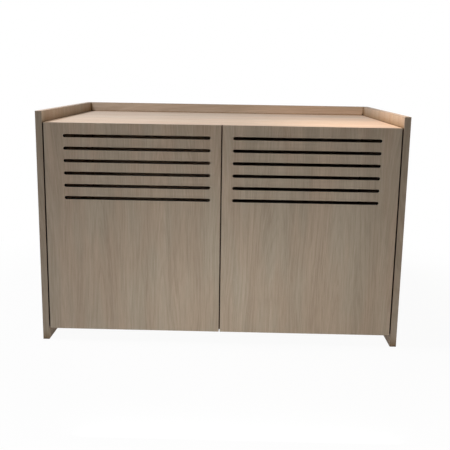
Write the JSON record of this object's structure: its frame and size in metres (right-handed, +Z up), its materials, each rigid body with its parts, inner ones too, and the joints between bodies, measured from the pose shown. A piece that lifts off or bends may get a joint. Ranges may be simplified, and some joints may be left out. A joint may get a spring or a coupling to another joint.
{
  "type": "cat litter box cabinet",
  "caption": "Low oak-laminate cabinet that hides a litter box: slotted double doors, raised rim round the top, a rounded cat entrance in the left side and a divider with a doorway.",
  "frame": {"origin": "on the floor, under the middle of the case's footprint", "axes": "+Z up, -Y towards the doors (front), +X towards the right-hand door seen from the front; the cat entrance is in the -X side"},
  "size_m": [0.9, 0.6, 0.578],
  "materials": {
    "oak_laminate": "light oak melamine laminate, fine vertical grain, matte",
    "nickel_steel": "nickel-plated pressed steel",
    "screw_steel": "bright zinc-plated steel",
    "strike_steel": "satin steel",
    "zinc": "cast and plated zinc",
    "grey_plastic": "moulded, matte",
    "white_plastic": "moulded, satin"
  },
  "bodies": {
    "case": {"left_side_panel": "oak_laminate", "right_side_panel": "oak_laminate", "top_board": "oak_laminate", "bottom_board": "oak_laminate", "back_panel": "oak_laminate", "divider": "oak_laminate", "left_upper_hinge_arm": "nickel_steel", "left_upper_hinge_plate": "nickel_steel", "left_upper_hinge_arm_screw": "zinc", "left_upper_hinge_plate_screw_high": "zinc", "left_upper_hinge_plate_screw_low": "zinc", "left_lower_hinge_arm": "nickel_steel", "left_lower_hinge_plate": "nickel_steel", "left_lower_hinge_arm_screw": "zinc", "left_lower_hinge_plate_screw_high": "zinc", "left_lower_hinge_plate_screw_low": "zinc", "left_latch_housing": "grey_plastic", "left_top_front_cam_lock": "zinc", "left_top_back_cam_lock": "zinc", "left_bottom_front_cam_lock": "zinc", "left_bottom_back_cam_lock": "zinc", "right_upper_hinge_arm": "nickel_steel", "right_upper_hinge_plate": "nickel_steel", "right_upper_hinge_arm_screw": "zinc", "right_upper_hinge_plate_screw_high": "zinc", "right_upper_hinge_plate_screw_low": "zinc", "right_lower_hinge_arm": "nickel_steel", "right_lower_hinge_plate": "nickel_steel", "right_lower_hinge_arm_screw": "zinc", "right_lower_hinge_plate_screw_high": "zinc", "right_lower_hinge_plate_screw_low": "zinc", "right_latch_housing": "grey_plastic", "right_top_front_cam_lock": "zinc", "right_top_back_cam_lock": "zinc", "right_bottom_front_cam_lock": "zinc", "right_bottom_back_cam_lock": "zinc"},
    "left_door_swing": {"left_door": "oak_laminate", "left_strike": "strike_steel", "left_upper_hinge_cup": "nickel_steel", "left_upper_hinge_pin": "screw_steel", "left_upper_hinge_cup_screw_high": "screw_steel", "left_upper_hinge_cup_screw_low": "screw_steel", "left_lower_hinge_cup": "nickel_steel", "left_lower_hinge_pin": "screw_steel", "left_lower_hinge_cup_screw_high": "screw_steel", "left_lower_hinge_cup_screw_low": "screw_steel"},
    "right_door_swing": {"right_door": "oak_laminate", "right_strike": "strike_steel", "right_upper_hinge_cup": "nickel_steel", "right_upper_hinge_pin": "screw_steel", "right_upper_hinge_cup_screw_high": "screw_steel", "right_upper_hinge_cup_screw_low": "screw_steel", "right_lower_hinge_cup": "nickel_steel", "right_lower_hinge_pin": "screw_steel", "right_lower_hinge_cup_screw_high": "screw_steel", "right_lower_hinge_cup_screw_low": "screw_steel"},
    "left_latch_pin": {"left_latch_plunger": "white_plastic"},
    "right_latch_pin": {"right_latch_plunger": "white_plastic"}
  },
  "joints": [
    {"name": "left_door_hinge", "type": "hinge", "parent": "case", "child": "left_door_swing", "pos_m": [-0.423, -0.293, 0.2905], "axis": [0, 0, -1], "range_deg": [0, 100]},
    {"name": "right_door_hinge", "type": "hinge", "parent": "case", "child": "right_door_swing", "pos_m": [0.423, -0.293, 0.2905], "axis": [0, 0, 1], "range_deg": [0, 100]},
    {"name": "left_latch_slide", "type": "slide", "parent": "case", "child": "left_latch_pin", "axis": [0, -1, 0], "range_m": [0, 0.022]},
    {"name": "right_latch_slide", "type": "slide", "parent": "case", "child": "right_latch_pin", "axis": [0, -1, 0], "range_m": [0, 0.022]}
  ],
  "couplings": [
    {"joint": "left_latch_slide", "follows": "left_door_hinge", "m_per_rad": 0.0126},
    {"joint": "right_latch_slide", "follows": "right_door_hinge", "m_per_rad": 0.0126}
  ]
}
